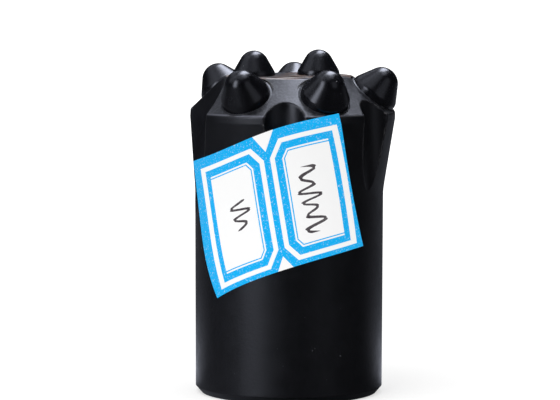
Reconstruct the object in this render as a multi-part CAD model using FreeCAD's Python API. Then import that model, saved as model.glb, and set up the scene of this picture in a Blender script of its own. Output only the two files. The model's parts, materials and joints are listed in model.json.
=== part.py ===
import FreeCAD, Part
import math
import os

# A tapered button drill bit for percussive rock drilling, in millimetres.
# Frame: +Z runs up the bit's axis, from the end of the skirt (z = 0) to the cutting face.
# Azimuths are in degrees, from -Y (the front, with the middle one of its three gauge buttons) towards +X.

Vector = FreeCAD.Vector
Vector2d = FreeCAD.Base.Vector2d
UP = Vector(0, 0, 1)

# Head
GAUGE_DIAMETER = 36.0          # over the outer flanks of the gauge buttons
GAUGE_RELIEF = 0.6             # the steel stands this far inside the gauge, on the radius
BODY_HEIGHT = 52.2             # skirt end to flat face
BEVEL_WIDTH = 7.0              # from the land in to the flat face, on the radius
FACE_ROUND = 0.5               # rounding between flat face and bevel
RIM_ANGLE = 39.5               # slope of the rim bevel
RIM_ROUND = 0.7                # rounding between bevel and land
LAND_HEIGHT = 1.2              # upright land under the bevel
NECK_Z = 33.5                  # where the head's taper meets the skirt
NECK_ROUND = 12.0              # soft blend there

# Skirt
SKIRT_STEP = 1.9               # the skirt at the neck is this much smaller than the head, on the radius
SKIRT_TAPER = 0.1              # from the neck down to the end bevel, on the radius
END_BEVEL_RADIAL = 0.95
END_BEVEL_HEIGHT = 1.1

# Tapered socket for the drill rod
SOCKET_ANGLE = 11.0            # included angle
SOCKET_MOUTH_DIAMETER = 23.0
SOCKET_LEAD_IN = 0.8           # bevel at the mouth
SOCKET_DEPTH = 34.0            # to the end of the tapered wall
SOCKET_POINT_HEIGHT = 2.5      # shallow cone past it

# Flushing holes
FRONT_HOLE_DIAMETER = 3.4
FRONT_HOLE_OFFSET = 3.4        # towards the front gauge button
SIDE_HOLE_DIAMETER = 4.0
SIDE_HOLE_RISE = 35.0          # degrees above level, going outwards
SIDE_HOLE_START_Z = 29.0       # where its axis crosses the bit's axis

# Gauge buttons: a front group of three and a rear pair
GAUGE_AZIMUTHS = [0.0, 55.5, 153.0, -153.0, -54.0]
GAUGE_TILT = 36.5              # of their axes from the bit's axis
GAUGE_BUTTON_DIAMETER = 8.0
GAUGE_BUTTON_DOME = 4.6        # height of the shaped head above the shank
GAUGE_BUTTON_STAND = 0.35      # shank left standing above the bevel
GAUGE_BUTTON_SHANK = 7.2
SPOT_WIDTH = 0.65              # flat ring milled round each gauge button
SPOT_DEPTH = 0.25              # below the bevel

# Face buttons
FACE_BUTTON_DIAMETER = 7.0
FACE_BUTTON_DOME = 4.0
FACE_BUTTON_STAND = 0.15
FACE_BUTTON_SHANK = 6.0
FACE_BUTTON_INSET = 4.6        # of their centres from the flat face's edge, along X
FACE_BUTTON_SETBACK = 1.25     # away from the front gauge button

# Form of every button
FLANK_ANGLE = 30.0             # half angle of the flank
SHOULDER_HEIGHT = 0.4          # above the shank's end, where the flank line meets the shank's wall
SHOULDER_ROUND = 1.5
SHANK_BEVEL = 0.5              # at the foot of the shank

# Grooves that let the cuttings out: narrow ones inside the groups, wide ones between the groups
NARROW_AZIMUTHS = [-26.5, 31.0, 180.0]
NARROW_CUTTER_RADIUS = 3.5
NARROW_DEPTH = 2.9             # from the head's radius in to the floor, level with the flat face
NARROW_RUNOUT_Z = 35.4         # where the floor line meets the skirt's radius
WIDE_AZIMUTHS = [103.5, -103.5]
WIDE_CUTTER_RADIUS = 13.0
WIDE_DEPTH = 6.6
WIDE_RUNOUT_Z = 29.5
GROOVE_EDGE_ROUND = 0.3

# Paper label, wrapped on the head and skirt
LABEL_LENGTH = 29.1
LABEL_WIDTH = 22.9
LABEL_LOWER_BOW = 1.25         # how far the middle of the lower edge is drawn in
LABEL_LEFT_BOW = 2.2           # how far the middle of the left edge stands out
LABEL_THICKNESS = 0.12
LABEL_TURN = 17.0              # degrees, raised to the right
LABEL_AZIMUTH = -34.7          # of its centre
LABEL_CENTRE_Z = 31.85
LABEL_RISE = 0.7               # mean height of the steel under it above the skirt at the neck
LABEL_NECK_ROUND = 100.0       # the paper bends less than the steel, and spans the neck

# Derived sizes
HEAD_RADIUS = GAUGE_DIAMETER / 2 - GAUGE_RELIEF
FACE_RADIUS = HEAD_RADIUS - BEVEL_WIDTH
SKIRT_RADIUS = HEAD_RADIUS - SKIRT_STEP
SKIRT_END_RADIUS = SKIRT_RADIUS - SKIRT_TAPER
LABEL_WRAP_RADIUS = SKIRT_RADIUS + LABEL_RISE    # sets how far round the label reaches
RIM_SLOPE = math.tan(math.radians(RIM_ANGLE))
RIM_Z = BODY_HEIGHT - (HEAD_RADIUS - FACE_RADIUS) * RIM_SLOPE
LAND_Z = RIM_Z - LAND_HEIGHT
SOCKET_SLOPE = math.tan(math.radians(SOCKET_ANGLE / 2))
OVERRUN = 3.0                  # tools reach this far past the steel
FULL_TURN = 360.0
FRONT_DEGREES = -90.0          # where azimuth 0 lies, counted from +X


def outward(azimuth):
    """Unit vector away from the axis at an azimuth in degrees."""
    angle = math.radians(azimuth)
    return Vector(math.sin(angle), -math.cos(angle), 0)


def tilted(azimuth, tilt):
    """Unit vector that leans out from +Z by tilt degrees, at an azimuth."""
    angle = math.radians(tilt)
    return outward(azimuth) * math.sin(angle) + UP * math.cos(angle)


def at(azimuth, radius, z):
    """Point at an azimuth, a distance from the axis and a height."""
    return outward(azimuth) * radius + UP * z


def bevel_z(radius):
    """Height of the rim bevel at a distance from the axis."""
    return BODY_HEIGHT - (radius - FACE_RADIUS) * RIM_SLOPE


def rounded_path(corners):
    """Edges through (x, z, rounding) corners in the plane y = 0, with an arc at each rounded corner."""
    points = [Vector(x, 0, z) for x, z, _ in corners]
    edges = []
    start = points[0]
    for before, corner, after, (_, _, rounding) in zip(points, points[1:], points[2:], corners[1:]):
        if rounding == 0:
            edges.append(Part.makeLine(start, corner))
            start = corner
            continue
        back = (before - corner).normalize()
        onward = (after - corner).normalize()
        half = back.getAngle(onward) / 2
        setback = rounding / math.tan(half)
        centre = corner + (back + onward).normalize() * (rounding / math.sin(half))
        middle = centre + (corner - centre).normalize() * rounding
        edges.append(Part.makeLine(start, corner + back * setback))
        start = corner + onward * setback
        edges.append(Part.Arc(corner + back * setback, middle, start).toShape())
    edges.append(Part.makeLine(start, points[-1]))
    return edges


def revolved(edges):
    """Solid of revolution about Z of an outline, closed by a line from its last point to its first."""
    closing = Part.makeLine(edges[-1].lastVertex(True).Point, edges[0].firstVertex(True).Point)
    return Part.Face(Part.Wire(edges + [closing])).revolve(Vector(), UP, FULL_TURN)


def outer_form():
    """The head and skirt as turned, before grooves and holes."""
    return revolved(rounded_path([
        (0, 0, 0),
        (SKIRT_END_RADIUS - END_BEVEL_RADIAL, 0, 0),
        (SKIRT_END_RADIUS, END_BEVEL_HEIGHT, 0),
        (SKIRT_RADIUS, NECK_Z, NECK_ROUND),
        (HEAD_RADIUS, LAND_Z, 0),
        (HEAD_RADIUS, RIM_Z, RIM_ROUND),
        (FACE_RADIUS, BODY_HEIGHT, FACE_ROUND),
        (0, BODY_HEIGHT, 0),
    ]))


def socket_form():
    """The space inside the tapered socket, and what its lead-in bevel takes away."""
    mouth = SOCKET_MOUTH_DIAMETER / 2
    return revolved(rounded_path([
        (0, -OVERRUN, 0),
        (mouth + SOCKET_LEAD_IN + OVERRUN, -OVERRUN, 0),
        (mouth - SOCKET_LEAD_IN * SOCKET_SLOPE, SOCKET_LEAD_IN, 0),
        (mouth - SOCKET_DEPTH * SOCKET_SLOPE, SOCKET_DEPTH, 0),
        (0, SOCKET_DEPTH + SOCKET_POINT_HEIGHT, 0),
    ]))


def groove_cut(azimuth, cutter_radius, depth, runout_z):
    """Milling cut whose straight floor leans out, going down, until it leaves the steel at runout_z."""
    runout = at(azimuth, SKIRT_RADIUS, runout_z)
    along = (at(azimuth, HEAD_RADIUS - depth, BODY_HEIGHT) - runout).normalize()
    away = (outward(azimuth) - along * outward(azimuth).dot(along)).normalize()
    overrun = cutter_radius + OVERRUN
    length = BODY_HEIGHT - runout_z + 2 * overrun
    return Part.makeCylinder(cutter_radius, length, runout + away * cutter_radius - along * overrun, along)


def groove_cuts():
    """All the grooves' cuts."""
    narrow = [groove_cut(azimuth, NARROW_CUTTER_RADIUS, NARROW_DEPTH, NARROW_RUNOUT_Z)
              for azimuth in NARROW_AZIMUTHS]
    wide = [groove_cut(azimuth, WIDE_CUTTER_RADIUS, WIDE_DEPTH, WIDE_RUNOUT_Z)
            for azimuth in WIDE_AZIMUTHS]
    return narrow + wide


def flushing_cuts():
    """The front hole, from the flat face to the socket, and a side hole into each wide groove."""
    front = Part.makeCylinder(FRONT_HOLE_DIAMETER / 2, BODY_HEIGHT + OVERRUN - SOCKET_DEPTH,
                              at(0, FRONT_HOLE_OFFSET, SOCKET_DEPTH), UP)
    side = [Part.makeCylinder(SIDE_HOLE_DIAMETER / 2, GAUGE_DIAMETER, at(0, 0, SIDE_HOLE_START_Z),
                              tilted(azimuth, 90 - SIDE_HOLE_RISE))
            for azimuth in WIDE_AZIMUTHS]
    return [front] + side


def button(diameter, dome, shank):
    """One carbide button, dome above z = 0: bevelled shank, rounded shoulder, straight flank, round tip."""
    radius = diameter / 2
    flank = math.radians(FLANK_ANGLE)
    tip_radius = ((radius - (dome - SHOULDER_HEIGHT) * math.tan(flank))
                  / (1 / math.cos(flank) - math.tan(flank)))

    def tip_point(angle):
        """Point of the tip's arc, at an angle above level."""
        return Vector(math.cos(angle), 0, math.sin(angle)) * tip_radius + UP * (dome - tip_radius)

    flank_end = tip_point(flank)
    edges = rounded_path([
        (0, -shank, 0),
        (radius - SHANK_BEVEL, -shank, 0),
        (radius, -shank + SHANK_BEVEL, 0),
        (radius, SHOULDER_HEIGHT, SHOULDER_ROUND),
        (flank_end.x, flank_end.z, 0),
    ])
    edges.append(Part.Arc(flank_end, tip_point((flank + math.pi / 2) / 2), tip_point(math.pi / 2)).toShape())
    return revolved(edges)


def seated(shape, azimuth, tilt, point):
    """A copy of a shape made about +Z, leaning out at an azimuth and moved to a point."""
    placed = shape.copy()
    placed.Placement = FreeCAD.Placement(point, FreeCAD.Rotation(UP, tilted(azimuth, tilt)))
    return placed


def gauge_seat_radius():
    """Distance from the axis to a gauge button's shoulder centre that puts its flank on the gauge."""
    upright = button(GAUGE_BUTTON_DIAMETER, GAUGE_BUTTON_DOME, GAUGE_BUTTON_SHANK)
    leaning = seated(upright, 90, GAUGE_TILT, Vector())
    return GAUGE_DIAMETER / 2 - leaning.optimalBoundingBox(False).XMax


def gauge_buttons():
    """The gauge buttons, and for each the flat milled round it."""
    radius = gauge_seat_radius()
    proud = GAUGE_BUTTON_STAND / math.cos(math.radians(GAUGE_TILT))
    shape = button(GAUGE_BUTTON_DIAMETER, GAUGE_BUTTON_DOME, GAUGE_BUTTON_SHANK)
    spot = Part.makeCylinder(GAUGE_BUTTON_DIAMETER / 2 + SPOT_WIDTH, GAUGE_BUTTON_DOME + OVERRUN,
                             UP * -(GAUGE_BUTTON_STAND + SPOT_DEPTH))
    centres = [at(azimuth, radius, bevel_z(radius) + proud) for azimuth in GAUGE_AZIMUTHS]
    places = list(zip(GAUGE_AZIMUTHS, centres))
    buttons = [seated(shape, azimuth, GAUGE_TILT, centre) for azimuth, centre in places]
    spots = [seated(spot, azimuth, GAUGE_TILT, centre) for azimuth, centre in places]
    return buttons, spots


def face_buttons():
    """The two upright buttons in the flat face."""
    shape = button(FACE_BUTTON_DIAMETER, FACE_BUTTON_DOME, FACE_BUTTON_SHANK)
    return [seated(shape, 0, 0, Vector(side * (FACE_RADIUS - FACE_BUTTON_INSET), FACE_BUTTON_SETBACK,
                                       BODY_HEIGHT + FACE_BUTTON_STAND)) for side in (1, -1)]


def bowed_line(start, end, bow, surface):
    """Curve on a surface between two points of its parameters, its middle off to the left by bow."""
    left = Vector2d((start.y - end.y) / LABEL_WRAP_RADIUS, (end.x - start.x) * LABEL_WRAP_RADIUS)
    length = math.hypot(left.x * LABEL_WRAP_RADIUS, left.y)
    curve = Part.Geom2d.BezierCurve2d()
    curve.setPoles([start, (start + end) * 0.5 + left * (2 * bow / length), end])
    return curve.toShape(surface)


def label_window():
    """Solid reaching outwards through the label's outline, a rectangle turned and wrapped round the axis."""
    turn = math.radians(LABEL_TURN)
    half_length, half_width = LABEL_LENGTH / 2, LABEL_WIDTH / 2
    corners = []
    for along, across in ((-1, -1), (1, -1), (1, 1), (-1, 1)):
        round_way = along * half_length * math.cos(turn) - across * half_width * math.sin(turn)
        upwards = along * half_length * math.sin(turn) + across * half_width * math.cos(turn)
        corners.append(Vector2d(math.pi + round_way / LABEL_WRAP_RADIUS, LABEL_CENTRE_Z + upwards))
    bows = (LABEL_LOWER_BOW, 0, 0, -LABEL_LEFT_BOW)
    inner, outer = Part.Cylinder(), Part.Cylinder()
    inner.Radius = SKIRT_RADIUS - OVERRUN
    outer.Radius = HEAD_RADIUS + OVERRUN
    sides = list(zip(corners, corners[1:] + corners[:1], bows))
    loops = [[bowed_line(start, end, bow, surface) for start, end, bow in sides]
             for surface in (inner, outer)]
    faces = [Part.Face(surface, Part.Wire(loop)) for surface, loop in zip((inner, outer), loops)]
    faces += [Part.makeRuledSurface(a, b) for a, b in zip(*loops)]
    window = Part.makeSolid(Part.makeShell(faces))
    window.rotate(Vector(), UP, LABEL_AZIMUTH + FRONT_DEGREES - FULL_TURN / 2)
    return window


def size_label():
    """Thin paper sheet on the outside of the head and skirt, straight across the neck and the grooves."""
    corners = [(SKIRT_END_RADIUS, END_BEVEL_HEIGHT, 0), (SKIRT_RADIUS, NECK_Z, LABEL_NECK_ROUND),
               (HEAD_RADIUS, LAND_Z, 0), (HEAD_RADIUS, BODY_HEIGHT, 0)]
    inside = rounded_path(corners)
    outside = [edge.translated(Vector(LABEL_THICKNESS, 0, 0)) for edge in inside]
    ends = [Part.makeLine(a, a + Vector(LABEL_THICKNESS, 0, 0))
            for a in (inside[0].firstVertex(True).Point, inside[-1].lastVertex(True).Point)]
    section = Part.Face(Part.Wire(Part.__sortEdges__(inside + outside + ends)))
    sleeve = section.revolve(Vector(), UP, FULL_TURN)
    return sleeve.common(label_window())


def is_groove_face(face):
    """Whether a face was left by one of the groove cutters."""
    surface = face.Surface
    return isinstance(surface, Part.Cylinder) and any(
        math.isclose(surface.Radius, radius) for radius in (NARROW_CUTTER_RADIUS, WIDE_CUTTER_RADIUS))


def grooved_form():
    """The turned form with its grooves, their edges rounded."""
    form = outer_form().cut(groove_cuts())
    edges = [edge for edge in form.Edges
             if [is_groove_face(face) for face in form.ancestorsOfType(edge, Part.Face)].count(True) == 1]
    return form.makeFillet(GROOVE_EDGE_ROUND, edges)


def bit_body(buttons, spots):
    """The steel body: grooved form less the socket, the flats, the flushing holes and the button seats."""
    return grooved_form().cut([socket_form()] + spots + flushing_cuts() + buttons)


def main():
    """Write one STEP file for each piece."""
    os.makedirs("parts", exist_ok=True)
    gauge, spots = gauge_buttons()
    face = face_buttons()
    pieces = {"bit_body": bit_body(gauge + face, spots), "size_label": size_label()}
    pieces.update({f"gauge_button_{number}": shape for number, shape in enumerate(gauge, 1)})
    pieces.update({f"face_button_{number}": shape for number, shape in enumerate(face, 1)})
    for name, shape in pieces.items():
        shape.exportStep(f"parts/{name}.step")
        print(name, shape.isValid(), len(shape.Solids), round(shape.Volume, 2))


main()
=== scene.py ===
import json
import logging
import math
from dataclasses import dataclass
from enum import Enum
from typing import Any, Callable, Sequence

import bpy
import bmesh
from mathutils import Matrix, Vector

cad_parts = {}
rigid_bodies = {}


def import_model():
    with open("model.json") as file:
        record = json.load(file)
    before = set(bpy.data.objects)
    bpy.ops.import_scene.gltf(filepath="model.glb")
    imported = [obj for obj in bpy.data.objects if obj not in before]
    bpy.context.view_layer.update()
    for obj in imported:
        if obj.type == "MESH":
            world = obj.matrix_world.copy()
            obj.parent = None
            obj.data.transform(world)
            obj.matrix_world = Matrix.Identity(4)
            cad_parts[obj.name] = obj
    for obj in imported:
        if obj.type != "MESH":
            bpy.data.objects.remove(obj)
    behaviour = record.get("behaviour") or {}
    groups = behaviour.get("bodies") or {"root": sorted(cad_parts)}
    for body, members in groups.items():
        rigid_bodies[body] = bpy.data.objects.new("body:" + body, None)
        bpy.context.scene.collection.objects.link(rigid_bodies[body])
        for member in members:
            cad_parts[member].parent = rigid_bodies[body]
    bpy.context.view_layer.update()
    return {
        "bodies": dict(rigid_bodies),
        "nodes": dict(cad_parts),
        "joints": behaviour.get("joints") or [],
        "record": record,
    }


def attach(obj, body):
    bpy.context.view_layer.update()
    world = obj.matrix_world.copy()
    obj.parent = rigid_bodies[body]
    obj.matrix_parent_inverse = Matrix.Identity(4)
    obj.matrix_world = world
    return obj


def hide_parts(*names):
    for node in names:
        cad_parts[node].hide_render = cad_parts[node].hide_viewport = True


MM = 0.001
VIEW_AZIMUTH = -23.8
log = logging.getLogger("button_bit")

Operand = "Field | float"
Pair = tuple[float, float]
Tone = tuple[float, float, float]
Seat = tuple[Vector, Vector]


class Slot(Enum):
    """The record's material slots."""

    BODY = "body_paint"
    BUTTON = "button_paint"
    LABEL = "label_paper"


def outward(azimuth: float) -> Vector:
    """Unit vector away from the axis, at degrees from the front (-Y) towards +X."""
    angle = math.radians(azimuth)
    return Vector((math.sin(angle), -math.cos(angle), 0.0))


# ---------------------------------------------------------------- node trees


def arithmetic(operation: str, turned: bool = False) -> Callable[..., "Field"]:
    """Make a method of Field that adds a Math node.

    Args:
        operation: The node's operation.
        turned: Whether the other operand comes first.

    Returns:
        The method.
    """
    def method(self: "Field", *others: Operand) -> "Field":
        """Result of the operation."""
        return self.graph.math(operation, *((*others, self) if turned else (self, *others)))
    return method


class Field:
    """One socket of a node tree, whose arithmetic adds Math nodes; a comparison gives 1 or 0."""

    def __init__(self, graph: "Graph", socket: bpy.types.NodeSocket) -> None:
        """Keep the tree and the socket."""
        self.graph = graph
        self.socket = socket

    __add__, __radd__ = arithmetic("ADD"), arithmetic("ADD", True)
    __sub__, __rsub__ = arithmetic("SUBTRACT"), arithmetic("SUBTRACT", True)
    __mul__, __rmul__ = arithmetic("MULTIPLY"), arithmetic("MULTIPLY", True)
    __truediv__, __pow__ = arithmetic("DIVIDE"), arithmetic("POWER")
    __gt__, __lt__ = arithmetic("GREATER_THAN"), arithmetic("LESS_THAN")
    __abs__ = arithmetic("ABSOLUTE")


class Graph:
    """A node tree with one way to add a node."""

    def __init__(self, tree: bpy.types.NodeTree) -> None:
        """Empty the tree and keep it."""
        self.tree = tree
        tree.nodes.clear()

    def node(self, kind: str, settings: dict[str, Any] | None = None,
             inputs: dict[int | str, Any] | None = None) -> bpy.types.Node:
        """Add a node.

        Args:
            kind: The node's type.
            settings: Its properties, set first.
            inputs: Values or fields of its sockets, by name or number.

        Returns:
            The new node.
        """
        made = self.tree.nodes.new(kind)
        for name, value in (settings or {}).items():
            setattr(made, name, value)
        for key, value in (inputs or {}).items():
            socket = made.inputs[key]
            if isinstance(value, Field):
                self.tree.links.new(value.socket, socket)
            elif isinstance(value, bpy.types.NodeSocket):
                self.tree.links.new(value, socket)
            else:
                socket.default_value = value
        return made

    def field(self, kind: str, settings: dict[str, Any] | None = None,
              inputs: dict[int | str, Any] | None = None, output: int | str = 0) -> Field:
        """Add a node and return one of its outputs as a field."""
        return Field(self, self.node(kind, settings, inputs).outputs[output])

    def math(self, operation: str, *operands: Operand) -> Field:
        """Add a Math node on fields and numbers."""
        return self.field("ShaderNodeMath", {"operation": operation}, dict(enumerate(operands)))

    def split(self, vector: Field) -> tuple[Field, ...]:
        """X, Y and Z of a vector."""
        parts = self.node("ShaderNodeSeparateXYZ", {}, {0: vector})
        return tuple(Field(self, parts.outputs[number]) for number in range(3))

    def dot(self, first: Field, second: Field | Vector) -> Field:
        """Dot product of two vectors."""
        return self.field("ShaderNodeVectorMath", {"operation": "DOT_PRODUCT"},
                          {0: first, 1: second}, "Value")

    def blend(self, factor: Field, first: Any, second: Any) -> Field:
        """Mix two colours, each a field or red, green and blue."""
        first, second = ((*tone, 1.0) if isinstance(tone, tuple) else tone for tone in (first, second))
        return self.field("ShaderNodeMix", {"data_type": "RGBA"}, {"Factor": factor, 6: first, 7: second}, 2)

    def lowest(self, *operands: Operand) -> Field:
        """The least of several fields or numbers."""
        result = operands[0]
        for operand in operands[1:]:
            result = self.math("MINIMUM", result, operand)
        return result

    def highest(self, *operands: Operand) -> Field:
        """The greatest of several fields or numbers."""
        result = operands[0]
        for operand in operands[1:]:
            result = self.math("MAXIMUM", result, operand)
        return result

    def smooth(self, value: Field, low: float, high: float) -> Field:
        """0 below low and 1 above high, with a soft step between; high may be the lower of the two."""
        return self.field("ShaderNodeMapRange", {"interpolation_type": "SMOOTHSTEP"},
                          {"Value": value, "From Min": low, "From Max": high})


class Finish:
    """Base of the finishes: a material with a Principled shader at its end."""

    def begin(self, name: str) -> tuple[bpy.types.Material, Graph, bpy.types.Node]:
        """Start a material.

        Args:
            name: The material's name.

        Returns:
            The material, its graph and its Principled shader, already joined to the output.
        """
        material = bpy.data.materials.new(name)
        material.use_nodes = True
        graph = Graph(material.node_tree)
        shader = graph.node("ShaderNodeBsdfPrincipled")
        graph.node("ShaderNodeOutputMaterial", inputs={"Surface": shader.outputs[0]})
        return material, graph, shader

    @staticmethod
    def noise(graph: Graph, place: Field, size: float, detail: float = 2.0, rough: float = 0.5) -> Field:
        """Soft noise whose lumps are about size metres across."""
        return graph.field("ShaderNodeTexNoise", {}, {"Vector": place, "Scale": 1.0 / size, "Detail": detail,
                                                      "Roughness": rough})

    @staticmethod
    def join(graph: Graph, shader: bpy.types.Node, inputs: dict[str, Any]) -> None:
        """Set values of the shader's own sockets and link fields to them."""
        for name, value in inputs.items():
            if isinstance(value, Field):
                graph.tree.links.new(value.socket, shader.inputs[name])
            else:
                shader.inputs[name].default_value = value


@dataclass(frozen=True)
class BlackPaint(Finish):
    """Satin black paint sprayed over steel or carbide, with cloudy gloss, fine grain, a little dust, and
    paler grey grain patches on faces that point up.
    """

    name: str
    colour: Tone = (0.0009, 0.0009, 0.0018)
    cloud_colour: Tone = (0.0018, 0.0018, 0.003)
    dust: Tone = (0.18, 0.19, 0.21)
    roughness: float = 0.40
    mottle: float = 0.10
    cloud_size: float = 2.4 * MM
    grain_size: float = 0.4 * MM
    grain: float = 0.35
    steel: Tone = (0.17, 0.17, 0.18)
    edge: float = 0.26 * MM
    upward_paling: float = 0.16
    rim: Pair | None = None
    bare_above: float | None = None
    bare: Tone = (0.34, 0.32, 0.295)
    rust: Tone = (0.16, 0.075, 0.035)
    ior: float = 1.5
    cloud_span: Pair = (0.3, 0.75)
    speck_size: float = 0.5 * MM
    speck_span: Pair = (0.80, 0.84)
    faces_up_span: Pair = (0.3, 0.9)
    paling_span: Pair = (0.42, 0.68)
    relief_depth: float = 0.05 * MM
    cloud_relief: float = 0.6
    flush_span: Pair = (0.985, 0.94)
    handled_span: Pair = (2.0 * MM, 4.0 * MM)
    edge_clouds: Pair = (0.30, 0.50)
    rim_clouds: Pair = (0.28, 0.46)
    rim_height_span: Pair = (0.16 * MM, 0.08 * MM)
    rim_inner_span: Pair = (0.6 * MM, 0.4 * MM)
    bare_fade: float = 0.12 * MM
    patch_size: float = 5.0 * MM
    rubbed_span: Pair = (0.49, 0.60)
    stain_span: Pair = (0.42, 0.50)
    stain_end: Pair = (0.52, 0.62)
    stain: float = 0.55
    bare_metal: float = 0.7
    bare_rough: float = 0.1

    def material(self) -> bpy.types.Material:
        """Build the paint.

        Returns:
            The material.
        """
        material, graph, shader = self.begin(self.name)
        place = graph.field("ShaderNodeTexCoord", output="Object")
        cloud = self.noise(graph, place, self.cloud_size, 3.0)
        grain = self.noise(graph, place, self.grain_size, 2.0)
        rough = self.roughness + (cloud - 0.5) * (self.mottle * 2.0) + (grain - 0.5) * self.mottle
        colour = graph.blend(graph.smooth(cloud, *self.cloud_span), self.colour, self.cloud_colour)
        specks = graph.smooth(self.noise(graph, place, self.speck_size, 1.0), *self.speck_span)
        colour = graph.blend(specks, colour, self.dust)
        # paler bluish grey in grain-sized patches on faces that point up, strongest where they face straight
        # up
        if self.upward_paling > 0.0:
            facing = graph.field("ShaderNodeTexCoord", output="Normal")
            faces_up = graph.smooth(graph.split(facing)[2], *self.faces_up_span)
            paling = faces_up * graph.smooth(grain, *self.paling_span) * self.upward_paling
            colour = graph.blend(paling, colour, self.dust)
        relief = {"Strength": self.grain, "Distance": self.relief_depth,
                  "Height": grain + cloud * self.cloud_relief}
        worn = 0.0
        if self.edge > 0.0:
            soft = graph.field("ShaderNodeBevel", {"samples": 6}, {"Radius": self.edge})
            true = graph.field("ShaderNodeNewGeometry", output="True Normal")
            flush = graph.dot(soft, true)
            handled = graph.smooth(graph.split(place)[2], *self.handled_span)
            worn = handled * graph.smooth(flush, *self.flush_span) * graph.smooth(cloud, *self.edge_clouds)
            colour = graph.blend(worn, colour, self.steel)
            relief["Normal"] = soft
        if self.rim is not None:
            worn = self._rim(graph, place) * graph.smooth(cloud, *self.rim_clouds)
            colour = graph.blend(worn, colour, self.steel)
        bump = graph.field("ShaderNodeBump", {}, relief)
        inputs = {"Base Color": colour, "Metallic": worn, "Roughness": rough, "Normal": bump, "IOR": self.ior}
        if self.bare_above is not None:
            inputs |= self._worn(graph, place, colour, rough, worn)
        self.join(graph, shader, inputs)
        return material

    def _rim(self, graph: Graph, place: Field) -> Field:
        """1 in a thin ring at the foot of the bevel, whose radius and height are the rim's."""
        radius, height = self.rim
        beside, before, level = graph.split(place)
        out = (beside * beside + before * before) ** 0.5
        near = graph.smooth(abs(level - height), *self.rim_height_span)
        return near * graph.smooth(out, *(radius - inset for inset in self.rim_inner_span))

    def _worn(self, graph: Graph, place: Field, colour: Field, rough: Field,
              metal: Operand) -> dict[str, Field]:
        """Rub the paint off the ground face in patches and let them rust at their edges.

        Args:
            graph: The material's graph.
            place: Object coordinates.
            colour: The paint's colour.
            rough: The paint's roughness.
            metal: 1 where the rim is rubbed down to steel.

        Returns:
            The shader's inputs that the wear changes.
        """
        face = graph.smooth(graph.split(place)[2], self.bare_above, self.bare_above + self.bare_fade)
        patch = self.noise(graph, place, self.patch_size, 4.0, 0.6)
        rubbed = face * graph.smooth(patch, *self.rubbed_span)
        stained = face * graph.smooth(patch, *self.stain_span) * (1.0 - graph.smooth(patch, *self.stain_end))
        tone = graph.blend(rubbed, colour, self.bare)
        tone = graph.blend(stained * self.stain, tone, self.rust)
        return {"Base Color": tone, "Metallic": graph.highest(metal, rubbed * self.bare_metal),
                "Roughness": rough + rubbed * self.bare_rough}


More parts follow.
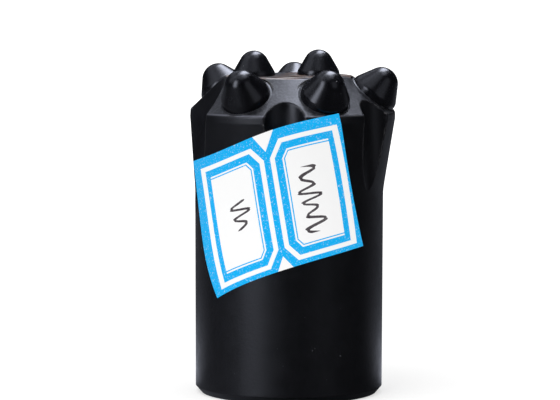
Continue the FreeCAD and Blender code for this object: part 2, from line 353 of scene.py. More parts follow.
@dataclass(frozen=True)
class PrintedPaper(Finish):
    """White paper label with two framed fields printed in blue, and a plain wavy stroke of a pen in each."""

    name: str
    length: float
    width: float
    paper: Tone = (0.93, 0.93, 0.93)
    ink: Tone = (0.004, 0.43, 0.89)
    pen: Tone = (0.045, 0.035, 0.042)
    half_length: float = 13.0 * MM
    half_width: float = 10.4 * MM
    shift: float = 1.79 * MM
    rise: float = 0.42 * MM
    band: float = 0.78 * MM
    side_band: float = 1.15 * MM
    frame: float = 1.2 * MM
    side_frame: float = 1.05 * MM
    gap: float = 0.27 * MM
    line: float = 0.2 * MM
    stripe: float = 1.06 * MM
    fork: float = 1.45 * MM
    fork_slope: float = 0.58
    chamfer_length: float = 1.9 * MM
    chamfer_width: float = 2.75 * MM
    skew: float = 0.136
    bend: float = 5.6
    creep: float = 3.4
    ior: float = 1.2
    skewed_length: float = 0.52
    stretch: float = 1.02
    speck_size: float = 0.26 * MM
    speck_span: Pair = (0.57, 0.70)
    speck_fade: float = 0.6
    wash_size: float = 0.9 * MM
    ink_cover: float = 0.96
    pen_cover: float = 0.85
    fibre_size: float = 0.12 * MM
    pen_width: float = 0.23 * MM
    pen_waver: float = 0.12 * MM
    roughness: float = 0.5

    def material(self) -> bpy.types.Material:
        """Build the printed paper.

        Returns:
            The material.
        """
        material, graph, shader = self.begin(self.name)
        column, row, _ = graph.split(graph.field("ShaderNodeUVMap", {"uv_map": "flat"}))
        along, across = self._askew((column - 0.5) * self.length, (row - 0.5) * self.width)
        place = graph.field("ShaderNodeTexCoord", output="Object")
        speck = graph.smooth(self.noise(graph, place, self.speck_size, 3.0, 0.7), *self.speck_span)
        wash = self.noise(graph, place, self.wash_size, 3.0, 0.6)
        cover = (self._print(graph, abs(along), across) * (1.0 - speck * self.speck_fade)
                 * (self.ink_cover + wash * 0.1))
        inked = graph.blend(cover, self.paper, self.ink)
        stroke = self._pen(graph, along, across, wash) * (self.pen_cover + wash * 0.2)
        drawn = graph.blend(stroke, inked, self.pen)
        fibre = self.noise(graph, place, self.fibre_size, 3.0, 0.6)
        bump = graph.field("ShaderNodeBump", {}, {"Strength": 0.3, "Distance": 0.01 * MM, "Height": fibre})
        self.join(graph, shader, {"Base Color": drawn, "Roughness": self.roughness, "Normal": bump,
                                  "IOR": self.ior})
        return material

    def _askew(self, along: Field, across: Field) -> tuple[Field, Field]:
        """Place on the print, which was cut out a little askew: its upper middle lies to the right.

        Args:
            along: Place along the paper, from its middle.
            across: Place across the paper, from its middle.

        Returns:
            Place along and across the print, from its middle.
        """
        held = 1.0 - (along / (self.skewed_length * self.length)) ** 2.0
        return (along - self.shift - across * held * self.skew
                + across * across * self.bend + along * along * self.creep,
                across * self.stretch + self.rise)

    def _print(self, graph: Graph, along: Field, across: Field) -> Field:
        """1 where the paper is inked: nested frames round two fields, whose inner corners are cut off."""
        top = self.half_width - abs(across)
        outer = self.half_length - along
        middle = along - self.stripe / 2
        slant = math.hypot(1 / self.chamfer_length, 1 / self.chamfer_width)
        corner = ((along - self.stripe / 2) * (1 / self.chamfer_length / slant)
                  + top * (1 / self.chamfer_width / slant) - 1 / slant)
        inner = graph.lowest(top, middle, corner)
        side = graph.highest(outer * (self.band / self.side_band),
                             (outer - self.side_band) * (self.frame / self.side_frame) + self.band)
        depth = graph.lowest(inner, side)
        frame_end = self.band + self.frame
        border = (depth < 0.0) * (along > (self.fork - top) * self.fork_slope)
        frame = (depth > self.band) * (depth < frame_end)
        line_start = frame_end + self.gap
        line = (inner > line_start) * (inner < line_start + self.line) * (side > frame_end)
        return graph.highest(border, frame, line)

    def _pen(self, graph: Graph, along: Field, across: Field, waver: Field) -> Field:
        """1 on two wavy pen strokes, one in each field, which spell nothing."""
        strokes = (
            (6.0 * MM, -0.9 * MM, 5.7 * MM, 1.75 * MM, 2.3 * MM),
            (-5.9 * MM, 0.2 * MM, 2.5 * MM, 1.6 * MM, 2.4 * MM),
        )
        marks = []
        for centre, middle, half, swing, wave in strokes:
            step = across - middle
            phase = step * (2 * math.pi / wave) + graph.math("SINE", step * (1.3 / wave)) * 0.9
            reach = graph.math("SINE", step * (2.9 / wave) + 0.6) * (swing * 0.28) + swing * 0.72
            offset = abs(along - centre + step * 0.05 - graph.math("SINE", phase) * reach)
            steep = graph.math("COSINE", phase) * reach * (2 * math.pi / wave)
            distance = offset / (1.0 + steep * steep) ** 0.5
            width = self.pen_width + (waver - 0.5) * self.pen_waver
            marks.append((distance < width) * (abs(step) < half))
        return graph.highest(*marks)


# ---------------------------------------------------------------- meshes


def placed(name: str, data: bpy.types.ID) -> bpy.types.Object:
    """A new object that is linked to the scene."""
    made = bpy.data.objects.new(name, data)
    bpy.context.scene.collection.objects.link(made)
    return made


class Maker:
    """Turns node groups and outlines into plain meshes."""

    @staticmethod
    def kept(name: str, built: bmesh.types.BMesh) -> bpy.types.Mesh:
        """Turn what was built into a mesh and free it."""
        mesh = bpy.data.meshes.new(name)
        built.to_mesh(mesh)
        built.free()
        return mesh

    @staticmethod
    def turned(name: str, outline: Sequence[Pair], segments: int) -> bpy.types.Mesh:
        """Closed mesh of revolution about Z.

        Args:
            name: The mesh's name.
            outline: Radius and height, from the pole above to the pole below, without the poles' own points.
            segments: How many steps go round.

        Returns:
            The mesh, its faces pointing outwards.
        """
        built = bmesh.new()
        above = built.verts.new((0.0, 0.0, outline[0][1]))
        below = built.verts.new((0.0, 0.0, outline[-1][1]))
        rings = []
        for radius, height in outline[1:-1]:
            rings.append([built.verts.new((radius * math.cos(turn), radius * math.sin(turn), height))
                          for turn in (2 * math.pi * step / segments for step in range(segments))])
        for step in range(segments):
            after = (step + 1) % segments
            built.faces.new((above, rings[0][step], rings[0][after]))
            built.faces.new((below, rings[-1][after], rings[-1][step]))
            for upper, lower in zip(rings, rings[1:]):
                built.faces.new((upper[step], lower[step], lower[after], upper[after]))
        bmesh.ops.recalc_face_normals(built, faces=built.faces)
        return Maker.kept(name, built)

    @staticmethod
    def ring(name: str, section: Sequence[Pair], segments: int) -> bpy.types.Mesh:
        """Closed ring about Z with a closed section.

        Args:
            name: The mesh's name.
            section: Radius and height of the section's points, in order.
            segments: How many steps go round.

        Returns:
            The mesh, its faces pointing outwards.
        """
        built = bmesh.new()
        rounds = [[built.verts.new((radius * math.cos(turn), radius * math.sin(turn), height))
                   for radius, height in section]
                  for turn in (2 * math.pi * step / segments for step in range(segments))]
        for before, after in zip(rounds, rounds[1:] + rounds[:1]):
            for number in range(len(section)):
                following = (number + 1) % len(section)
                built.faces.new((before[number], after[number], after[following], before[following]))
        bmesh.ops.recalc_face_normals(built, faces=built.faces)
        return Maker.kept(name, built)

    @staticmethod
    def seats(name: str, seats: Sequence[Seat]) -> bpy.types.Mesh:
        """Points at the seats' middles, which keep each seat's axis as their lean."""
        mesh = bpy.data.meshes.new(name)
        mesh.from_pydata([middle for middle, _ in seats], [], [])
        lean = mesh.attributes.new("lean", "FLOAT_VECTOR", "POINT")
        for number, (_, axis) in enumerate(seats):
            lean.data[number].vector = axis
        return mesh

    @staticmethod
    def grown(name: str, start: bpy.types.Mesh, tree: bpy.types.NodeTree,
              values: dict[str, Any]) -> bpy.types.Object:
        """Run a Geometry Nodes tree on a mesh and keep the result as a plain mesh.

        Args:
            name: The new object's name.
            start: The mesh that goes into the tree.
            tree: The tree.
            values: The tree's named inputs.

        Returns:
            A linked object at the origin with no modifier.
        """
        carrier = placed(name + "_start", start)
        modifier = carrier.modifiers.new("grow", "NODES")
        modifier.node_group = tree
        for item in tree.interface.items_tree:
            if item.item_type == "SOCKET" and item.in_out == "INPUT" and item.name in values:
                modifier[item.identifier] = values[item.name]
        bpy.context.view_layer.update()
        graph = bpy.context.evaluated_depsgraph_get()
        mesh = bpy.data.meshes.new_from_object(carrier.evaluated_get(graph))
        mesh.name = name
        bpy.data.objects.remove(carrier)
        return placed(name, mesh)


class Tree:
    """A Geometry Nodes tree with named inputs."""

    def __init__(self, name: str, inputs: dict[str, str]) -> None:
        """Make the tree.

        Args:
            name: The tree's name.
            inputs: Socket type of each named input.
        """
        self.group = bpy.data.node_groups.new(name, "GeometryNodeTree")
        self.graph = Graph(self.group)
        interface = self.group.interface
        interface.new_socket("Geometry", in_out="INPUT", socket_type="NodeSocketGeometry")
        for label, kind in inputs.items():
            interface.new_socket(label, in_out="INPUT", socket_type=kind)
        interface.new_socket("Geometry", in_out="OUTPUT", socket_type="NodeSocketGeometry")
        self.entry = self.graph.node("NodeGroupInput")

    def value(self, label: str) -> Field:
        """A named input as a field."""
        return Field(self.graph, self.entry.outputs[label])

    def finish(self, geometry: Field, material: Field) -> bpy.types.NodeTree:
        """End the tree in Realize Instances and Set Material."""
        real = self.graph.field("GeometryNodeRealizeInstances", {}, {0: geometry})
        painted = self.graph.field("GeometryNodeSetMaterial", {}, {"Geometry": real, "Material": material})
        self.graph.node("NodeGroupOutput", {}, {0: painted})
        return self.group


def arc(centre: Pair, radius: float, start: float, end: float,
        steps: int) -> list[Pair]:
    """Points of an arc in the plane, ends included, between two angles in degrees."""
    turns = [math.radians(start + (end - start) * step / steps) for step in range(steps + 1)]
    return [(centre[0] + radius * math.cos(turn), centre[1] + radius * math.sin(turn)) for turn in turns]


def in_seats(tree: Tree, label: str) -> Field:
    """Instances of an object on a tree's points, each turned along the point's lean.

    Args:
        tree: The tree, whose own geometry is the seats' points.
        label: Name of the input that holds the object.

    Returns:
        The instances.
    """
    graph = tree.graph
    shape = graph.field("GeometryNodeObjectInfo", {"transform_space": "ORIGINAL"},
                        {"Object": tree.value(label)}, "Geometry")
    axis = graph.field("GeometryNodeInputNamedAttribute", {"data_type": "FLOAT_VECTOR"}, {"Name": "lean"})
    turn = graph.field("FunctionNodeAlignRotationToVector", {"axis": "Z"}, {"Vector": axis})
    return graph.field("GeometryNodeInstanceOnPoints", {}, {
        "Points": tree.value("Geometry"), "Instance": shape, "Rotation": turn})


@dataclass(frozen=True)
class Button:
    """Shape of one kind of carbide button, and the seats that hold it."""

    name: str
    radius: float
    dome: float
    shank: float
    seats: tuple[Seat, ...]
    flank: float = 30.0
    shoulder_height: float = 0.4 * MM
    shoulder_round: float = 1.5 * MM
    shank_bevel: float = 0.5 * MM
    segments: int = 96

    def outline(self) -> list[Pair]:
        """Radius and height from the tip down to the foot of the shank."""
        slope = math.radians(self.flank)
        tip = ((self.radius - (self.dome - self.shoulder_height) * math.tan(slope))
               / (1 / math.cos(slope) - math.tan(slope)))
        points = arc((0.0, self.dome - tip), tip, 90.0, self.flank, 26)
        half = (math.pi - slope) / 2
        setback = self.shoulder_round / math.tan(half)
        centre = (self.radius - self.shoulder_round, self.shoulder_height - setback)
        points += arc(centre, self.shoulder_round, self.flank, 0.0, 12)
        foot, bevel_top = self.radius - self.shank_bevel, self.shank_bevel - self.shank
        points += [(self.radius, self.shoulder_height - setback - 0.3 * MM), (self.radius, -self.shank / 2),
                   (self.radius, bevel_top + 0.05 * MM), (self.radius, bevel_top),
                   (foot, -self.shank), (foot - 0.1 * MM, -self.shank), (0.0, -self.shank)]
        return points

    def build(self, material: bpy.types.Material) -> bpy.types.Object:
        """Set a button in each seat with a node tree.

        Args:
            material: The buttons' paint.

        Returns:
            All the buttons of this kind, as one mesh.
        """
        pattern = placed(self.name + "_pattern", Maker.turned(self.name, self.outline(), self.segments))
        tree = Tree(self.name + "_in_seats", {"Button": "NodeSocketObject", "Paint": "NodeSocketMaterial"})
        real = tree.graph.field("GeometryNodeRealizeInstances", {}, {0: in_seats(tree, "Button")})
        soft = tree.graph.field("GeometryNodeSetShadeSmooth", {}, {"Geometry": real})
        made = Maker.grown(self.name, Maker.seats(self.name + "_seats", self.seats),
                           tree.finish(soft, tree.value("Paint")), {"Button": pattern, "Paint": material})
        bpy.data.objects.remove(pattern)
        return made


@dataclass(frozen=True)
class Collar:
    """The lip of steel pushed up round a button where it was pressed in, highest against the button."""

    bore: float = 4.0 * MM
    crest: float = 0.12 * MM
    wall: float = 0.34 * MM
    rise: float = 0.08 * MM
    sunk: float = 0.8 * MM
    unevenness: float = 0.02 * MM
    segments: int = 96
    seed: int = 4
    waver_size: float = 1.6 * MM
    paint: BlackPaint = BlackPaint("lip_paint", edge=0.0)

    def outline(self) -> list[Pair]:
        """Closed section of the lip: radius and height over the bevel, anticlockwise from its outer foot."""
        outer, top = self.bore + self.wall, self.bore + self.crest
        return [(outer, -self.sunk), (outer, -0.03 * MM), (outer - 0.08 * MM, 0.006 * MM),
                (top + 0.06 * MM, 0.024 * MM), (top, self.rise * 0.62), (top - 0.04 * MM, self.rise * 0.92),
                (top - 0.08 * MM, self.rise), (self.bore + 0.01 * MM, self.rise * 0.8),
                (self.bore - 0.02 * MM, -self.sunk)]

    def build(self, seats: Sequence[Seat], steel: "SteelBody") -> bpy.types.Object:
        """Raise a lip round each seat with a node tree, which lays it on the body's bevel.

        Args:
            seats: Middle and axis of each seat.
            steel: The body, whose bevel carries the lips and whose side trims them.

        Returns:
            All the lips, as one mesh.
        """
        labels = ("Unevenness", "Reach", "Body Height", "Face Radius", "Fall", "Flatness")
        tree = Tree("lips_in_seats", {
            "Lip": "NodeSocketObject", **{label: "NodeSocketFloat" for label in labels},
            "Seed": "NodeSocketInt", "Paint": "NodeSocketMaterial"})
        graph = tree.graph
        real = graph.field("GeometryNodeRealizeInstances", {}, {0: in_seats(tree, "Lip")})
        laid = self._on_bevel(tree, real)
        waver = graph.field("ShaderNodeTexNoise", {"noise_dimensions": "4D"}, {
            "Scale": 1.0 / self.waver_size, "Detail": 2.0, "W": tree.value("Seed")}, "Color")
        push = graph.field("ShaderNodeVectorMath", {"operation": "SUBTRACT"}, {0: waver, 1: (0.5, 0.5, 0.5)})
        shift = graph.field("ShaderNodeVectorMath", {"operation": "SCALE"}, {
            0: push, "Scale": tree.value("Unevenness")})
        uneven = graph.field("GeometryNodeSetPosition", {}, {"Geometry": laid, "Offset": shift})
        beside, before, height, out = self._spot(graph)
        pull = graph.lowest(tree.value("Reach") / out, 1.0)
        inside = graph.field("ShaderNodeCombineXYZ", {}, {0: beside * pull, 1: before * pull, 2: height})
        trimmed = graph.field("GeometryNodeSetPosition", {}, {"Geometry": uneven, "Position": inside})
        soft = graph.field("GeometryNodeSetShadeSmooth", {}, {"Geometry": trimmed})
        mesh = Maker.ring("lip", self.outline(), self.segments)
        stand = mesh.attributes.new("stand", "FLOAT", "POINT")
        for vertex in mesh.vertices:
            stand.data[vertex.index].value = vertex.co.z
        pattern = placed("lip_pattern", mesh)
        rim = math.radians(steel.rim_angle)
        values = {"Lip": pattern, "Unevenness": self.unevenness, "Reach": steel.head_radius,
                  "Body Height": steel.height, "Face Radius": steel.face_radius, "Fall": math.tan(rim),
                  "Flatness": math.cos(rim), "Seed": self.seed, "Paint": self.paint.material()}
        lip_seats = Maker.seats("lip_seats", seats)
        made = Maker.grown("seat_lips", lip_seats, tree.finish(soft, tree.value("Paint")), values)
        bpy.data.objects.remove(pattern)
        return made

    @staticmethod
    def _spot(graph: Graph) -> tuple[Field, Field, Field, Field]:
        """X, Y, Z and distance from the body's axis."""
        beside, before, height = graph.split(graph.field("GeometryNodeInputPosition"))
        return beside, before, height, (beside * beside + before * before) ** 0.5

    def _on_bevel(self, tree: Tree, rings: Field) -> Field:
        """Slide the rings' points along their button's axis until each stands over the bevel.

        Args:
            tree: The tree, whose inputs give the bevel.
            rings: The rings, made real in their seats.

        Returns:
            The rings, laid on the bevel.
        """
        graph = tree.graph
        _, _, height, out = self._spot(graph)
        drop = graph.highest(out - tree.value("Face Radius"), 0.0) * tree.value("Fall")
        over = (height - tree.value("Body Height") + drop) * tree.value("Flatness")
        stand = graph.field("GeometryNodeInputNamedAttribute", {"data_type": "FLOAT"}, {"Name": "stand"})
        lean = graph.field("GeometryNodeInputNamedAttribute", {"data_type": "FLOAT_VECTOR"}, {"Name": "lean"})
        slide = graph.field("ShaderNodeVectorMath", {"operation": "SCALE"}, {0: lean, "Scale": stand - over})
        return graph.field("GeometryNodeSetPosition", {}, {"Geometry": rings, "Offset": slide})


@dataclass(frozen=True)
class Carbide:
    """Five buttons on the bevel, with lips, and two in the face; their sizes are radius, dome and shank."""

    gauge_azimuths: tuple[float, ...] = (0.0, 55.5, 153.0, -153.0, -54.0)
    gauge_tilt: float = 36.5
    gauge_stand: float = 0.35 * MM
    face_stand: float = 0.15 * MM
    face_spread: float = 11.6 * MM
    face_setback: float = 1.25 * MM
    gauge_sizes: tuple[float, ...] = (4.0 * MM, 4.6 * MM, 7.2 * MM)
    face_sizes: tuple[float, ...] = (3.5 * MM, 4.0 * MM, 6.0 * MM)
    paint: BlackPaint = BlackPaint("button_paint", roughness=0.26, mottle=0.04, grain=0.08, edge=0.0,
                                   upward_paling=0.0)

    def build(self, steel: "SteelBody") -> list[bpy.types.Object]:
        """Make and place the buttons.

        Args:
            steel: The body they sit in, which gives the height of its bevel and face.

        Returns:
            One piece for the gauge buttons, one for the face buttons and one for the lips round the first.
        """
        material = self.paint.material()
        tilt = math.radians(self.gauge_tilt)
        gauge_seats = []
        for azimuth in self.gauge_azimuths:
            radius = steel.gauge_seat_radius
            height = steel.bevel_height(radius) + self.gauge_stand / math.cos(tilt)
            axis = outward(azimuth) * math.sin(tilt) + Vector((0, 0, math.cos(tilt)))
            gauge_seats.append((outward(azimuth) * radius + Vector((0, 0, height)), axis))
        level = steel.height + self.face_stand
        face_seats = [(Vector((side * self.face_spread / 2, self.face_setback, level)), Vector((0, 0, 1)))
                      for side in (1, -1)]
        gauge = Button("gauge_buttons", *self.gauge_sizes, tuple(gauge_seats))
        face = Button("face_buttons", *self.face_sizes, tuple(face_seats))
        pieces = [gauge.build(material), face.build(material), Collar().build(gauge_seats, steel)]
        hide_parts(*(f"gauge_button_{number}" for number in range(1, 6)))
        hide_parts(*(f"face_button_{number}" for number in range(1, 3)))
        for piece, slot in zip(pieces, (Slot.BUTTON, Slot.BUTTON, Slot.BODY)):
            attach(piece, "root")
            log.info("%s: %d faces", piece.name, len(piece.data.polygons))
        return pieces


@dataclass(frozen=True)
class SteelBody:
    """The turned and milled steel body."""

    height: float = 52.2 * MM
    head_radius: float = 17.4 * MM
    face_radius: float = 10.4 * MM
    rim_angle: float = 39.5
    skirt_radius: float = 15.5 * MM
    skirt_end_radius: float = 15.4 * MM
    end_bevel: float = 1.1 * MM
    neck_height: float = 33.5 * MM
    land_height: float = 1.2 * MM
    gauge_seat_radius: float = 14.1584 * MM
    paint: BlackPaint = BlackPaint("body_paint", bare_above=52.05 * MM, rim=(17.4 * MM, 46.5 * MM))

    @property
    def rim_height(self) -> float:
        """Height of the foot of the bevel."""
        return self.bevel_height(self.head_radius)

    def bevel_height(self, radius: float) -> float:
        """Height of the rim bevel at a distance from the axis."""
        return self.height - (radius - self.face_radius) * math.tan(math.radians(self.rim_angle))

    def build(self, frame: dict[str, Any]) -> bpy.types.Object:
        """Dress the body.


        Returns:
            The body's own node.
        """
        node = frame["nodes"]["bit_body"]
        node.data.materials.clear()
        node.data.materials.append(self.paint.material())
        log.info("%s: %d faces", node.name, len(node.data.polygons))
        return node


@dataclass(frozen=True)
class SizeLabel:
    """The paper label wrapped on the head and the skirt."""

    length: float = 29.1 * MM
    width: float = 22.9 * MM
    lower_bow: float = 1.25 * MM
    left_bow: float = 1.85 * MM
    right_bow: float = 0.35 * MM
    upper_wave: float = 0.5 * MM
    thickness: float = 0.11 * MM
    clearance: float = 0.01 * MM
    weld: float = 0.002 * MM
    wave_shift: float = 0.05
    turn: float = 17.0
    azimuth: float = -34.7
    centre_height: float = 31.85 * MM
    wrap_radius: float = 16.2 * MM
    neck_round: float = 100.0 * MM
    columns: int = 150
    rows: int = 110

    def build(self, steel: SteelBody) -> bpy.types.Object:
        """Wrap the sheet with a node tree.

        Args:
            steel: The body under it.

        Returns:
            The label.
        """
        finish = PrintedPaper("label_paper", self.length, self.width)
        sheet = self._flat_sheet()
        land = steel.rim_height - steel.land_height
        low_slope = (steel.skirt_radius - steel.skirt_end_radius) / (steel.neck_height - steel.end_bevel)
        high_slope = (steel.head_radius - steel.skirt_radius) / (land - steel.neck_height)
        low, high = math.atan(low_slope), math.atan(high_slope)
        reach = self.neck_round * math.tan((high - low) / 2)
        low_end = steel.neck_height - reach * math.cos(low)
        centre = low_end - self.neck_round * math.sin(low)
        centre_radius = steel.skirt_radius - reach * math.sin(low) + self.neck_round * math.cos(low)
        values = {
            "Length": self.length, "Width": self.width,
            "Lower Bow": self.lower_bow, "Left Bow": self.left_bow,
            "Right Bow": self.right_bow, "Upper Wave": self.upper_wave,
            "Turn": math.radians(self.turn), "Azimuth": math.radians(self.azimuth),
            "Centre Height": self.centre_height, "Wrap Radius": self.wrap_radius,
            "Neck Round": self.neck_round, "Neck Centre Height": centre, "Neck Centre Radius": centre_radius,
            "Neck Low": low_end, "Neck High": steel.neck_height + reach * math.cos(high),
            "Low Slope": low_slope, "High Slope": high_slope, "Head Radius": steel.head_radius,
            "Clearance": self.clearance, "Thickness": self.thickness, "Paper": finish.material(),
        }
        piece = Maker.grown("paper_label", sheet, self._tree(values), values)
        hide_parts("size_label")
        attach(piece, "root")
        log.info("%s: %d faces", piece.name, len(piece.data.polygons))
        return piece

    def _flat_sheet(self) -> bpy.types.Mesh:
        """A grid over the unit square, whose UV map is its own place."""
        built = bmesh.new()
        flat = built.loops.layers.uv.new("flat")
        grid = [[built.verts.new((column / self.columns, row / self.rows, 0.0))
                 for column in range(self.columns + 1)] for row in range(self.rows + 1)]
        for lower, upper in zip(grid, grid[1:]):
            for left, right, over_right, over_left in zip(lower, lower[1:], upper[1:], upper):
                face = built.faces.new((left, right, over_right, over_left))
                for loop in face.loops:
                    loop[flat].uv = loop.vert.co.xy
        return Maker.kept("label_sheet", built)

    def _tree(self, values: dict[str, Any]) -> bpy.types.NodeTree:
        """Tree that bows, turns and wraps the unit square, and gives it its thickness."""
        kinds = {label: "NodeSocketMaterial" if label == "Paper" else "NodeSocketFloat" for label in values}
        tree = Tree("wrapped_sheet", kinds)
        graph = tree.graph
        column, row, _ = graph.split(graph.field("GeometryNodeInputPosition"))
        column, row = column * 2.0 - 1.0, row * 2.0 - 1.0
        middle_row = 1.0 - row * row
        along = (column * tree.value("Length") * 0.5
                 - middle_row * (1.0 - column) * 0.5 * tree.value("Left Bow")
                 - middle_row * (1.0 + column) * 0.5 * tree.value("Right Bow"))
        wave = graph.math("SINE", (column + self.wave_shift) * math.pi)
        across = (row * tree.value("Width") * 0.5
                  + (1.0 - column * column) * (1.0 - row) * 0.5 * tree.value("Lower Bow")
                  + wave * (1.0 + row) * 0.5 * tree.value("Upper Wave"))
        cosine = graph.math("COSINE", tree.value("Turn"))
        sine = graph.math("SINE", tree.value("Turn"))
        height = tree.value("Centre Height") + along * sine + across * cosine
        azimuth = tree.value("Azimuth") + (along * cosine - across * sine) / tree.value("Wrap Radius")
        low, high = tree.value("Neck Low"), tree.value("Neck High")
        bent = graph.lowest(graph.highest(height, low), high) - tree.value("Neck Centre Height")
        reach = tree.value("Neck Round")
        radius = (tree.value("Neck Centre Radius") - (reach * reach - bent * bent) ** 0.5
                  + graph.lowest(height - low, 0.0) * tree.value("Low Slope")
                  + graph.highest(height - high, 0.0) * tree.value("High Slope"))
        radius = graph.lowest(radius, tree.value("Head Radius")) + tree.value("Clearance")
        place = graph.field("ShaderNodeCombineXYZ", {}, {
            0: radius * graph.math("SINE", azimuth), 1: radius * graph.math("COSINE", azimuth) * -1.0,
            2: height})
        wrapped = graph.field("GeometryNodeSetPosition", {}, {
            "Geometry": tree.value("Geometry"), "Position": place})
        raised = graph.field("GeometryNodeExtrudeMesh", {"mode": "FACES"}, {
            "Mesh": wrapped, "Offset Scale": tree.value("Thickness"), "Individual": False})
        under = graph.field("GeometryNodeFlipFaces", {}, {"Mesh": wrapped})
        both = graph.node("GeometryNodeJoinGeometry")
        graph.tree.links.new(under.socket, both.inputs[0])
        graph.tree.links.new(raised.socket, both.inputs[0])
        closed = graph.field("GeometryNodeMergeByDistance", {}, {
            "Geometry": both.outputs[0], "Distance": self.weld})
        return tree.finish(closed, tree.value("Paper"))


# ---------------------------------------------------------------- stage


@dataclass(frozen=True)
class Lamp:
    """One soft area lamp, hung round the camera's line."""

    name: str
    azimuth: float
    elevation: float
    distance: float
    width: float
    height: float
    level: float


@dataclass(frozen=True)
class Glow:
    """One flat soft panel far away, seen in gloss alone; in degrees, azimuth from the camera to the right."""

    azimuth: float
    elevation: float
    width: float
    height: float
    radiance: float
    soft: float = 0.25

    def strength(self, graph: Graph, ray: Field) -> Field:
        """The panel's radiance along a ray."""
        level = math.radians(self.elevation)
        flat = outward(VIEW_AZIMUTH + self.azimuth)
        middle = flat * math.cos(level) + Vector((0, 0, math.sin(level)))
        side = Vector((-flat.y, flat.x, 0.0))
        over = middle.cross(side)
        near = graph.dot(ray, middle)
        across = abs(graph.dot(ray, side) / near)
        up = abs(graph.dot(ray, over) / near)
        half_width, half_height = (math.tan(math.radians(angle / 2)) for angle in (self.width, self.height))
        inside = graph.smooth(across, half_width, half_width * (1 - self.soft))
        inside = inside * graph.smooth(up, half_height, half_height * (1 - self.soft))
        return inside * (near > 0.0) * self.radiance


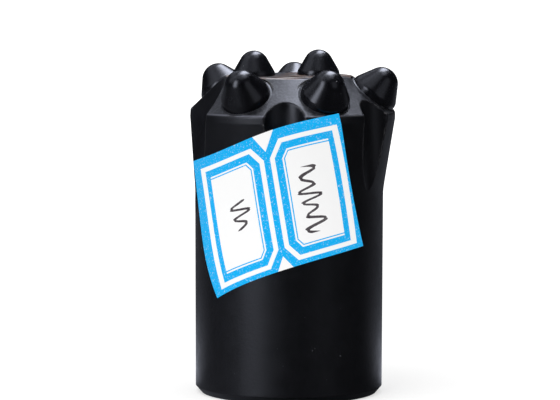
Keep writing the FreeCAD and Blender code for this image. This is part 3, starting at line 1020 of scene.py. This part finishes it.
@dataclass(frozen=True)
class Stage:
    """Floor, plain surroundings, lamps and camera."""

    floor_size: float = 9.0
    floor_colour: float = 0.7
    floor_shade: float = 0.45
    floor_glow: float = 0.55
    floor_dark: float = 0.05
    floor_lit: float = 0.14
    floor_behind: float = 0.11
    floor_foot: float = 0.9
    lit_azimuth: float = -55.0
    lit_span: Pair = (0.55, 0.98)
    behind_span: Pair = (0.1, 0.7)
    foot_span: Pair = (0.11, 0.02)
    far_span: Pair = (0.08, 0.5)
    clip: Pair = (0.01, 10.0)
    ambient: float = 1.04
    dim: float = 0.03
    tint: Tone = (0.95, 1.0, 1.18)
    aim_height: float = 0.03
    camera_distance: float = 0.492457
    camera_height: float = 0.076962
    camera_pitch: float = 5.256
    camera_roll: float = 0.11
    camera_aside: float = 0.0015036
    lens: float = 192.857
    sensor: float = 36.0
    lamps: tuple[Lamp, ...] = (
        Lamp("high_lamp", -40.0, 62.0, 0.6, 0.35, 0.35, 3.0),
    )
    glows: tuple[Glow, ...] = (
        Glow(161.0, 63.0, 28.0, 52.0, 9.0, 0.5),
        Glow(-160.0, 78.0, 34.0, 26.0, 1.6, 0.5),
        Glow(75.0, 74.0, 40.0, 30.0, 1.8, 0.5),
        Glow(-40.0, 72.0, 70.0, 40.0, 0.7, 0.5),
        Glow(-44.5, 16.0, 28.0, 60.0, 5.0, 0.5),
        Glow(44.0, 14.0, 44.0, 60.0, 0.42, 0.5),
        Glow(-90.0, 42.0, 50.0, 50.0, 0.6, 0.5),
        Glow(-150.0, 45.0, 50.0, 34.0, 0.5, 0.5),
    )

    def build(self) -> None:
        """Make everything that isn't the object."""
        self._world()
        self._floor()
        for lamp in self.lamps:
            self._hang(lamp)
        self._camera()

    @staticmethod
    def _rays(graph: Graph) -> tuple[Field, Field]:
        """1 for the camera's own rays, and 1 for glossy rays."""
        path = graph.node("ShaderNodeLightPath")
        return Field(graph, path.outputs["Is Camera Ray"]), Field(graph, path.outputs["Is Glossy Ray"])

    def _world(self) -> None:
        """White to the camera, panels in the gloss, and an even light on everything matt."""
        world = bpy.data.worlds.new("surroundings")
        world.use_nodes = True
        world.cycles.sampling_method = "NONE"
        bpy.context.scene.world = world
        graph = Graph(world.node_tree)
        camera, glossy = self._rays(graph)
        ray = graph.field("ShaderNodeTexCoord", output="Generated")
        seen = sum((glow.strength(graph, ray) for glow in self.glows), self.dim)
        strength = graph.highest(camera, glossy * seen + (1.0 - glossy) * self.ambient)
        colour = graph.blend(glossy, (1.0, 1.0, 1.0), self.tint)
        light = graph.node("ShaderNodeBackground", {}, {"Color": colour, "Strength": strength})
        graph.node("ShaderNodeOutputWorld", {}, {"Surface": light.outputs[0]})

    def _floor(self) -> None:
        """White floor that keeps the shadow, dim in the object's gloss but for its left side and its rear."""
        half = self.floor_size / 2
        mesh = bpy.data.meshes.new("floor")
        corners = [(-half, -half, 0), (half, -half, 0), (half, half, 0), (-half, half, 0)]
        mesh.from_pydata(corners, [], [(0, 1, 2, 3)])
        floor = placed("floor", mesh)
        material = bpy.data.materials.new("floor_card")
        material.use_nodes = True
        graph = Graph(material.node_tree)
        camera, glossy = self._rays(graph)
        place = graph.field("ShaderNodeTexCoord", output="Object")
        reach = graph.field("ShaderNodeVectorMath", {"operation": "LENGTH"}, {0: place}, "Value")
        towards = outward(VIEW_AZIMUTH + self.lit_azimuth)
        patch = graph.smooth(graph.dot(place, towards) / reach, *self.lit_span)
        back = graph.dot(place, outward(VIEW_AZIMUTH + 180.0))
        rear = graph.smooth(back / reach, *self.behind_span) * (
            self.floor_behind + graph.smooth(reach, *self.foot_span) * self.floor_foot)
        card = graph.node("ShaderNodeBsdfDiffuse", {}, {"Color": (*(self.floor_colour,) * 3, 1.0)})
        shade = graph.node("ShaderNodeBsdfDiffuse", {}, {"Color": (*(self.floor_shade,) * 3, 1.0)})
        far = graph.smooth(reach, *self.far_span) * (1.0 - self.floor_glow)
        glow = graph.node("ShaderNodeEmission", {}, {"Strength": self.floor_glow + far})
        lit = graph.node("ShaderNodeAddShader", {}, {0: shade.outputs[0], 1: glow.outputs[0]})
        seen = graph.node("ShaderNodeEmission", {}, {
            "Color": (*self.tint, 1.0), "Strength": self.floor_dark + patch * self.floor_lit + rear})
        mixed = graph.node("ShaderNodeMixShader", {}, {0: glossy, 1: card.outputs[0], 2: seen.outputs[0]})
        shown = graph.node("ShaderNodeMixShader", {}, {0: camera, 1: mixed.outputs[0], 2: lit.outputs[0]})
        graph.node("ShaderNodeOutputMaterial", {}, {"Surface": shown.outputs[0]})
        mesh.materials.append(material)

    def _hang(self, lamp: Lamp) -> None:
        """Hang one soft lamp and aim it at the object; the panels make the gloss, so it makes none."""
        data = bpy.data.lights.new(lamp.name, "AREA")
        data.shape = "RECTANGLE"
        data.size, data.size_y = lamp.width, lamp.height
        data.energy = lamp.level * math.pi * lamp.width * lamp.height
        target = Vector((0, 0, self.aim_height))
        level = math.radians(lamp.elevation)
        away = outward(VIEW_AZIMUTH + lamp.azimuth) * math.cos(level) + Vector((0, 0, math.sin(level)))
        holder = placed(lamp.name, data)
        holder.location = target + away * lamp.distance
        holder.rotation_euler = away.to_track_quat("Z", "Y").to_euler()
        holder.visible_camera = False
        holder.visible_glossy = False

    def _camera(self) -> None:
        """A long lens, a little above the object and level with its head."""
        data = bpy.data.cameras.new("camera")
        data.lens, data.sensor_width = self.lens, self.sensor
        data.clip_start, data.clip_end = self.clip
        camera = placed("camera", data)
        bpy.context.scene.camera = camera
        towards = outward(VIEW_AZIMUTH)
        right = Vector((-towards.y, towards.x, 0.0))
        pitch, roll = math.radians(self.camera_pitch), math.radians(self.camera_roll)
        look = -towards * math.cos(pitch) - Vector((0, 0, math.sin(pitch)))
        over = right.cross(look)
        side = right * math.cos(roll) + over * math.sin(roll)
        up = side.cross(look)
        turn = Matrix((side, up, -look)).transposed().to_4x4()
        spot = towards * self.camera_distance - right * self.camera_aside + Vector((0, 0, self.camera_height))
        camera.matrix_world = Matrix.Translation(spot) @ turn


def main() -> None:
    """Load the frame, and build each sub-assembly and the stage."""
    logging.basicConfig(level=logging.INFO, format="%(message)s")
    bpy.ops.wm.read_factory_settings(use_empty=True)
    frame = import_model()
    steel = SteelBody()
    steel.build(frame)
    Carbide().build(steel)
    SizeLabel().build(steel)
    Stage().build()
    bpy.context.scene.view_settings.view_transform = "Standard"


if __name__ == "__main__":
    main()
